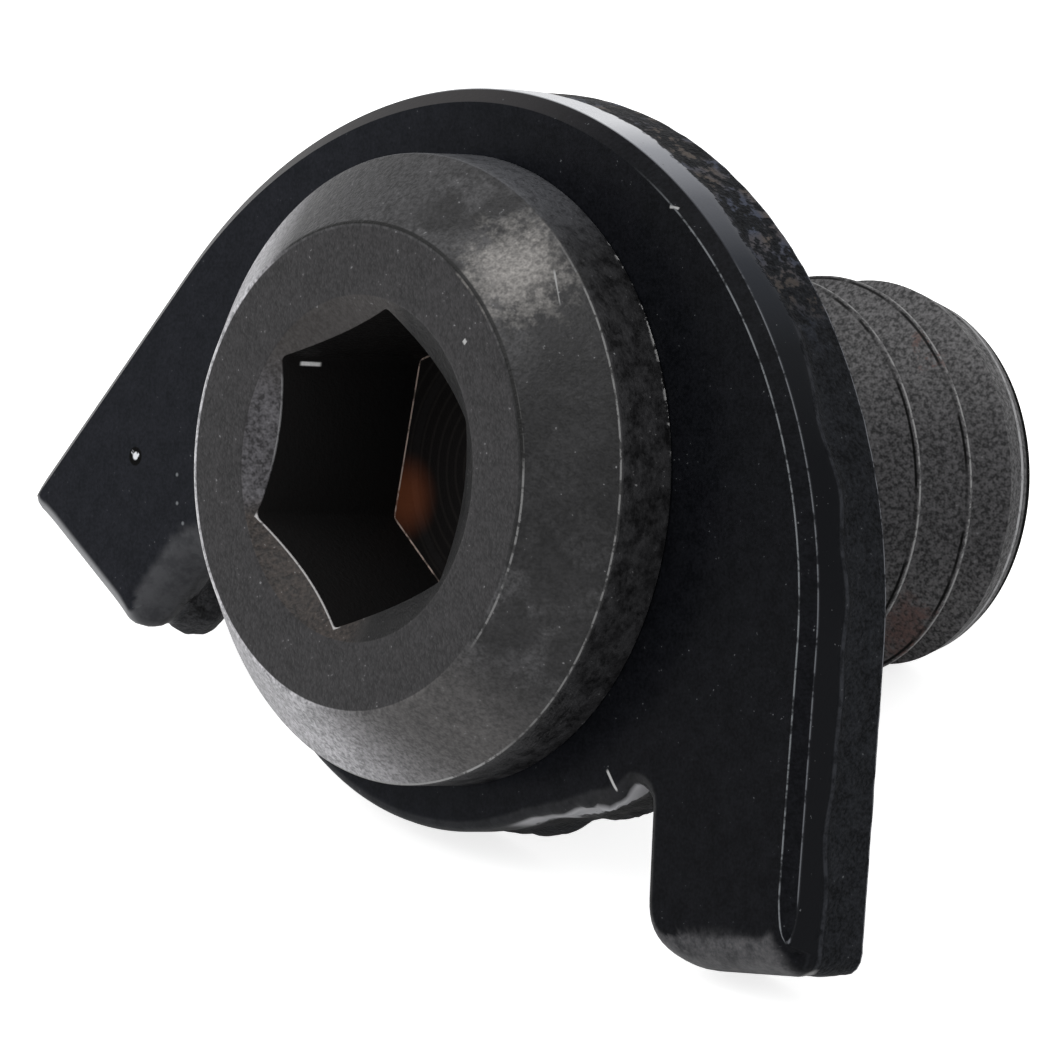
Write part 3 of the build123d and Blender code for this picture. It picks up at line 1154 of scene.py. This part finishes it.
def cornerTones(tree, on, tone):
    # turned corners of the head, rubbed down to the metal, and a painted highlight on the top face's
    # left rim
    look = boltLook
    section = addNode(tree, "CombineXYZ", {"X": on.radius, "Y": on.level}).outputs[0]

    def wearAndHighlightLine(tone, radius, level, width, grey, mask, wear):
        away = vectorCalc(tree, "DISTANCE", "Value", section, (radius, level, 0))
        line = fade(tree, away, width * 0.4, width, 1, 0)
        return paint(tree, tone, both(tree, line, mask, wear), (grey,) * 3)

    for radius, level, width, turns, grey in look["wornCorners"]:
        tone = wearAndHighlightLine(tone, radius, level, width, grey, window(tree, on.angle, *turns), on.worn)
    # painted highlight on the top face's left rim
    tone = wearAndHighlightLine(tone, *look["wornTop"], fade(tree, on.turnAway, 128, 150), on.worn)
    beads = fade(tree, on.coarse, 0.53, 0.57)
    tone = wearAndHighlightLine(tone, *look["wornSeat"], window(tree, on.angle, *look["wornSeatTurns"]), beads)
    # painted shade: dark line where the top face meets the bevel
    stepShade = both(
        tree, lineAt(tree, on.radius, boltSizes["topRadius"] + 0.01, 0.012, 0.035),
        fade(tree, on.level, boltSizes["headTop"] - 0.05, boltSizes["headTop"] - 0.03),
        window(tree, on.angle, *look["topStepShadeTurns"]),
    )
    return paint(tree, tone, stepShade, look["topStepShade"])


def threadTones(tree, on, tone):
    # rust, then a painted highlight on the crests, broken up, with painted shade beside them, and the
    # turned tip, darker at its edge, with a painted highlight line
    look, top = boltLook, boltSizes["thread"]["crestRadius"]
    breakUp = ragged(tree, on.coarse, 0.3)
    rust = either(tree, *(spot(tree, on.place, *place, breakUp) for place in look["rustSpots"]))
    rust = both(tree, on.thread, rust, fade(tree, on.grain, 0.35, 0.6, 0.2, 0.6))
    tone = paint(tree, tone, rust, look["threadRust"])
    # painted shade in the groove beside each crest
    crestShadeMask = both(
        tree, on.thread, lineAt(tree, on.radius, top - 0.037, 0.008, 0.022),
        fade(tree, on.broad, 0.42, 0.52, 0.35, 1),
    )
    tone = paint(tree, tone, crestShadeMask, look["crestShade"])
    # painted highlight along the crests
    crest = both(tree, on.thread, fade(tree, on.radius, top - 0.007, top - 0.001), on.worn)
    tone = paint(tree, tone, crest, look["crest"])
    tone = paint(tree, tone, on.tipDirt, look["tipDirt"])
    # painted highlight line on the tip's rim, broken by noise
    line = both(
        tree, window(tree, on.level, -6.98, -6.93, 0.015), fade(tree, on.worn, 0, 1, 0.5, 1)
    )
    return paint(tree, tone, line, look["tipHighlight"])


def scratchTones(tree, on, tone, scratches):
    for start, end, width, grey in scratches:
        tone = paint(tree, tone, stroke(tree, on.place, start, end, width), (grey,) * 3)
    return tone


def steelFinish():
    material, tree, shader = newMaterial("blackened_steel")
    on = boltZones(tree)
    # darker and less glossy at the tip's outer edge
    on.tipDirt = both(
        tree, fade(tree, on.level, -7.10, -7.05, 1, 0), fade(tree, on.radius, 2.46, 2.48)
    )
    tone = oxideTones(tree, on)
    for step in (socketTones, cornerTones, threadTones):
        tone = step(tree, on, tone)
    dust = both(
        tree, fade(tree, on.grain, 0.70, 0.75), fade(tree, on.coarse, 0.54, 0.60),
        invert(tree, on.socket),
    )
    tone = paint(tree, tone, dust, boltLook["dust"])
    tone = scratchTones(tree, on, tone, boltLook["scratches"])
    roughness = fade(tree, on.coarse, 0.3, 0.7, 0.34, 0.5)
    gloss = calc(
        tree, "MINIMUM", fade(tree, on.socket, 0, 1, 0.26, 0.02), fade(tree, on.thread, 0, 1, 1, 0.10)
    )
    gloss = both(tree, gloss, invert(tree, on.tipDirt))
    wireUp(tree, shader, tone, roughness, gloss, on.mottle)
    return material


# Tones, noises and spots are as for the bolt.
plateLook = {
    "grain": (18, 1, 0.7),
    "coarse": (3.6, 3, 0.75),
    "broad": (1.6, 1, 0.5),
    # painted light on the left, painted shade on the right
    "coatLeft": ((0.0090, 0.0102, 0.0130), (0.0160, 0.0172, 0.022)),
    "coatRight": ((0.0026, 0.0029, 0.0038), (0.0068, 0.0073, 0.0092)),
    # partly thin coat, partly painted sheen on the pulled-over edge
    "thinCoatAndSheen": ((0.040, 0.041, 0.045), (0.078, 0.076, 0.080)),
    "heelCoatAndSheen": (0.050, 0.051, 0.056),
    "heelSpot": ((-6.2, -1.6, 1.0), 0.9, 1.25),
    # painted highlight on the long arm's pulled-over end
    "farEnd": (0.26, 0.265, 0.275),
    "farEndHighlightSpot": ((-8.1, -1.2, 1.4), 1.9, 2.3),
    "torn": ((0.0045, 0.005, 0.006), (0.018, 0.0195, 0.023)),
    "chips": ((0.055, 0.062, 0.085), (0.085, 0.072, 0.064)),
    # painted reflection on the burnished wall round the crown, by its turn in hundreds of degrees
    "burnishReflection": (
        (0.15, (0.0055, 0.006, 0.0075)), (0.28, (0.010, 0.011, 0.013)),
        (0.40, (0.028, 0.031, 0.038)), (0.50, (0.085, 0.09, 0.105)),
        (0.60, (0.27, 0.28, 0.31)), (0.68, (0.72, 0.73, 0.76)),
        (0.90, (0.72, 0.73, 0.76)), (0.98, (0.010, 0.011, 0.013)),
    ),
    "heelWall": ((0.016, 0.017, 0.019), (0.050, 0.050, 0.054)),
    "softBorder": (0.034, 0.036, 0.042),
    # painted sheen on the bevel at the crown's top
    "bevelTopSheen": (0.040, 0.038, 0.039),
    "bevelEdge": (0.16, 0.17, 0.18),
    "bevelFoot": (0.22, 0.23, 0.25),
    "backRim": (0.16, 0.165, 0.18),
    "linkSpot": ((2.35, -4.65, 0.9), 1.25, 1.7),
    # painted shade in the link's hollow
    "linkHollowShade": (0.003, 0.003, 0.0035),
    "linkSliver": (0.42, 0.42, 0.44),
    "dust": (0.10, 0.105, 0.11),
    "pit": (0.001, 0.001, 0.001),
    "crumb": (0.75, 0.77, 0.80),
    "pitPlace": (-6.96, 0.31, 1.5),
    "specks": ((-6.05, 0.03), (-6.05, -0.38), (-5.93, -0.67)),
    "speck": (0.16, 0.17, 0.18),
    "scratches": (
        ((3.06, -4.22, 1.5), (3.28, -4.55, 1.5), 0.03, 0.45),
        ((4.38, 3.60, 1.5), (4.55, 3.56, 1.46), 0.03, 0.35),
        ((6.35, -7.11, 0.85), (6.95, -7.16, 0.7), 0.14, 0.22),
    ),
    "hollowShades": (((-5.95, -1.62, 1.25), 0.04, 0.12), ((-6.35, -1.95, 0.75), 0.12, 0.32)),
    # painted shade in the hollows
    "hollow": (0.0015, 0.0015, 0.002),
}


def plateZones(tree):
    # places, noises, what the sheet's points keep, and the parts of the walls
    look = plateLook
    on = SimpleNamespace(place=localPlace(tree))
    parts = addNode(tree, "SeparateXYZ", {"Vector": on.place}).outputs
    on.x, on.y, on.level = parts["X"], parts["Y"], parts["Z"]
    for name in sheetMarks:
        setattr(on, name, addNode(tree, "Attribute", attribute_name=name).outputs["Fac"])
    # the flat back isn't part of the walls
    on.wall = both(tree, on.wall, fade(tree, on.level, 0.001, 0.004))
    on.grain = noise(tree, on.place, *look["grain"])
    on.coarse = noise(tree, on.place, *look["coarse"])
    on.broad = noise(tree, on.place, *look["broad"])
    on.mottle = blend(tree, on.coarse, on.grain, 0.5)
    on.heel = spot(tree, on.place, *look["heelSpot"])
    on.rolled = both(
        tree, fade(tree, on.pulled, 0.0, 0.28), fade(tree, on.coarse, 0.3, 0.6, 0.6, 1),
        fade(tree, on.inside, 0.1, 0.3),
    )
    on.crownTurn = angleOf(tree, on.x, calc(tree, "ADD", on.y, plateSizes["crownDrop"]))
    border = calc(tree, "ADD", on.border, ragged(tree, on.coarse, 0.05))
    border = calc(tree, "MULTIPLY", border, fade(tree, on.crownTurn, 5, 35, 0.22, 1))
    on.torn = both(tree, on.wall, fade(tree, border, -0.03, 0.03, 1, 0))
    on.burnished = both(tree, on.wall, fade(tree, border, -0.03, 0.03))
    return on


def coatTones(tree, on):
    # the coat is lighter towards the long arm and darker beside the head, a painted light and shade,
    # and lighter where the edge was pulled over, partly a thin coat and partly a painted sheen, most
    # of all at the long arm's end, where it is a painted highlight
    look = plateLook
    # painted light and shade: lighter towards the long arm, darker right of the head
    left = tint(tree, on.mottle, look["coatLeft"])
    tone = paint(tree, left, fade(tree, on.x, -3, 5), tint(tree, on.mottle, look["coatRight"]))
    # lighter pulled-over edges near the arms' ends: partly thin coat, partly painted sheen
    nearEnds = either(tree, on.heel, fade(tree, on.y, -6.1, -6.5))
    thinAndSheen = paint(tree, tint(tree, on.mottle, look["thinCoatAndSheen"]), on.heel, look["heelCoatAndSheen"])
    tone = paint(tree, tone, both(tree, on.rolled, nearEnds), thinAndSheen)
    # painted highlight on the pulled-over end of the long arm
    farEnd = both(
        tree, fade(tree, on.pulled, 0.02, 0.4), spot(tree, on.place, *look["farEndHighlightSpot"]),
        invert(tree, on.heel),
    )
    return paint(tree, tone, farEnd, look["farEnd"])


def wallTones(tree, on, tone):
    # torn part of the walls with chips of bare metal, and the burnished part above it with a painted
    # reflection
    look = plateLook
    tone = paint(tree, tone, on.torn, tint(tree, on.mottle, look["torn"], 0.38, 0.64))
    chips = both(
        tree, on.torn, fade(tree, on.coarse, 0.50, 0.60), fade(tree, on.crownTurn, 26, 46),
        fade(tree, on.crownTurn, 96, 104, 1, 0),
    )
    tone = paint(tree, tone, chips, tint(tree, on.broad, look["chips"], 0.42, 0.58))
    # painted reflection on the burnished wall, by its turn round the crown
    shine = grade(tree, calc(tree, "MULTIPLY", on.crownTurn, 0.01), *look["burnishReflection"])
    tone = paint(tree, tone, on.burnished, shine)
    tone = paint(tree, tone, both(tree, on.wall, on.heel), tint(tree, on.mottle, look["heelWall"]))
    soft = both(
        tree, on.wall, window(tree, on.border, -0.02, 0.02, 0.04),
        fade(tree, on.crownTurn, 20, 50, 1, 0), fade(tree, on.coarse, 0.35, 0.6, 0.1, 0.8),
    )
    return paint(tree, tone, soft, look["softBorder"])


def bevelTones(tree, on, tone):
    # bevel, lighter at the top as a painted sheen, with a broken bright line along its edge and one
    # along its foot, and the rim behind
    look = plateLook
    broken = fade(tree, on.coarse, 0.38, 0.52, 0.12, 1)
    onBevel = both(
        tree, fade(tree, on.inside, -0.01, 0.004, 1, 0), fade(tree, on.wall, 0, 0.5, 1, 0)
    )
    # painted sheen: the bevel lighter at the top of the crown
    top = both(tree, onBevel, fade(tree, on.crownTurn, 58, 90))
    tone = paint(tree, tone, top, look["bevelTopSheen"])
    lower = both(
        tree, fade(tree, on.bevel, 0.05, 0.15), fade(tree, on.crownTurn, 44, 60, 1, 0), broken
    )
    edge = both(
        tree, lineAt(tree, on.inside, 0, 0.004, 0.016), fade(tree, on.level, 1.4, 1.46), lower
    )
    tone = paint(tree, tone, edge, look["bevelEdge"])
    front = plateSizes["thickness"]
    footLevel = fade(tree, on.bevel, 0, 1, front, front - plateSizes["outerBevel"])
    foot = both(
        tree, lineAt(tree, on.level, footLevel, 0.008, 0.022), fade(tree, on.inside, 0.02, -0.16),
        fade(tree, on.crownTurn, 34, 42, 1, 0), fade(tree, on.x, 2, 3), lower,
    )
    tone = paint(tree, tone, foot, look["bevelFoot"])
    back = both(tree, on.wall, fade(tree, on.level, 0.010, 0.026, 1, 0), broken)
    return paint(tree, tone, back, look["backRim"])


def linkTones(tree, on, tone):
    # painted shade in a torn hollow, and a bright sliver, on the edge that links the boss and the
    # short arm
    look = plateLook
    onLink = both(tree, spot(tree, on.place, *look["linkSpot"]), on.wall)
    height = calc(tree, "ADD", on.level, ragged(tree, on.coarse, 0.1))
    # painted shade in the torn hollow
    hollow = both(tree, onLink, window(tree, height, 0.34, 0.90, 0.05))
    tone = paint(tree, tone, hollow, look["linkHollowShade"])
    height = calc(tree, "ADD", on.level, ragged(tree, on.coarse, 0.06))
    sliver = both(tree, onLink, fade(tree, height, 0.96, 1.04))
    return paint(tree, tone, sliver, look["linkSliver"])


def coatMarks(tree, on, tone):
    # dust, a pit with a crumb in it, specks, scratches, and painted shade in hollows of the
    # pulled-over edge
    look = plateLook
    dust = both(tree, fade(tree, on.grain, 0.72, 0.75), fade(tree, on.coarse, 0.56, 0.60))
    tone = paint(tree, tone, dust, look["dust"])
    pit = spot(tree, on.place, look["pitPlace"], 0.12, 0.15)
    tone = paint(tree, tone, pit, look["pit"])
    crumb = spot(tree, on.place, look["pitPlace"], 0.065, 0.095, ragged(tree, on.coarse, 0.03, 0.1))
    tone = paint(tree, tone, crumb, look["crumb"])
    for centre in look["specks"]:
        speck = spot(tree, on.place, (*centre, plateSizes["thickness"]), 0.01, 0.04)
        tone = paint(tree, tone, speck, look["speck"])
    tone = scratchTones(tree, on, tone, look["scratches"])
    # painted shade in the hollows of the pulled-over edge
    for place in look["hollowShades"]:
        hollow = spot(tree, on.place, *place, ragged(tree, on.coarse, 0.12))
        tone = paint(tree, tone, hollow, look["hollow"])
    return tone


def plateFinish():
    material, tree, shader = newMaterial("black_coat")
    on = plateZones(tree)
    tone = coatTones(tree, on)
    for step in (wallTones, bevelTones, linkTones, coatMarks):
        tone = step(tree, on, tone)
    polish = both(
        tree, fade(tree, on.crownTurn, 36, 70), fade(tree, on.crownTurn, 96, 104, 1, 0),
        on.burnished,
    )
    gloss = calc(tree, "ADD", 0.045, calc(tree, "MULTIPLY", polish, 0.6))
    gloss = calc(tree, "ADD", gloss, calc(tree, "MULTIPLY", on.rolled, 0.14))
    relief = both(tree, on.mottle, fade(tree, on.torn, 0, 1, 0.15, 1.5))
    wireUp(tree, shader, tone, fade(tree, on.torn, 0, 1, 0.3, 0.5), gloss, relief)
    return material


# Looking direction and roll of the camera, as turns about Z, up from the floor and about
# the view, with the point that it looks at and how far from it the camera stands.
cameraSetting = {
    "azimuth": 51.632,
    "elevation": 26.210,
    "roll": -2.316,
    "aim": (0.00022146, -0.00032825, -0.00076654),
    "distance": 0.254133,
    "lens": 607.75,
}
# Metres and watts: each lamp's name, place, size and power
lightSetting = {
    "floorSize": 1.2,
    "floorLift": 0.75,
    "even": 0.6,
    "lamps": (
        ("key", (-0.10, -0.20, 0.40), 0.45, 1.0),
        ("fill", (0.30, -0.10, 0.30), 0.45, 0.4),
    ),
}


def placeCamera():
    s = cameraSetting
    azimuth, elevation = math.radians(s["azimuth"]), math.radians(s["elevation"])
    back = Vector((
        math.sin(azimuth) * math.cos(elevation),
        -math.cos(azimuth) * math.cos(elevation),
        math.sin(elevation),
    ))
    deselectAll()
    bpy.ops.object.camera_add(location=Vector(s["aim"]) + back * s["distance"])
    camera = bpy.context.object
    level = (-back).to_track_quat("-Z", "Y").to_matrix()
    roll = Matrix.Rotation(math.radians(s["roll"]), 3, back)
    camera.rotation_euler = (roll @ level).to_euler()
    camera.data.lens = s["lens"]
    camera.data.sensor_width = 36
    camera.data.clip_start = 0.01
    camera.data.clip_end = 10
    bpy.context.scene.camera = camera


def placeFloor():
    deselectAll()
    under = (0, 0, cadBounds[0].z)
    bpy.ops.mesh.primitive_plane_add(size=lightSetting["floorSize"], location=under)
    floor = bpy.context.object
    floor.name = "floor"
    material, tree, shader = newMaterial("floor_paper")
    shader.inputs["Base Color"].default_value = (0.9, 0.9, 0.9, 1)
    shader.inputs["Roughness"].default_value = 0.9
    shader.inputs["Emission Color"].default_value = (1, 1, 1, 1)
    seen = addNode(tree, "LightPath").outputs["Is Camera Ray"]
    lift = calc(tree, "MULTIPLY", seen, lightSetting["floorLift"])
    tree.links.new(lift, shader.inputs["Emission Strength"])
    floor.data.materials.append(material)


def lightScene():
    # even surround, white where the camera sees it
    world = bpy.data.worlds.new("surround")
    bpy.context.scene.world = world
    world.use_nodes = True
    tree = world.node_tree
    background = tree.nodes["Background"]
    background.inputs["Color"].default_value = (1, 1, 1, 1)
    seen = addNode(tree, "LightPath").outputs["Is Camera Ray"]
    even = lightSetting["even"]
    strength = calc(tree, "ADD", even, calc(tree, "MULTIPLY", seen, 1 - even))
    tree.links.new(strength, background.inputs["Strength"])
    for name, place, size, power in lightSetting["lamps"]:
        bpy.ops.object.light_add(type="AREA", location=place)
        lamp = bpy.context.object
        lamp.name = name
        lamp.data.size = size
        lamp.data.energy = power
        lamp.rotation_euler = (-Vector(place)).to_track_quat("-Z", "Y").to_euler()


print("scene: bolt")
boltPiece = makeBolt()
boltPiece.data.materials.append(steelFinish())
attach(boltPiece, "bolt")
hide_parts("bolt")
print("  faces", len(boltPiece.data.polygons))

print("scene: plate")
platePiece = makePlate()
platePiece.data.materials.append(plateFinish())
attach(platePiece, "plate")
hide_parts("clamp_plate")
print("  faces", len(platePiece.data.polygons))

print("scene: floor, light and camera")
placeFloor()
lightScene()
placeCamera()
bpy.context.scene.view_settings.view_transform = "Standard"
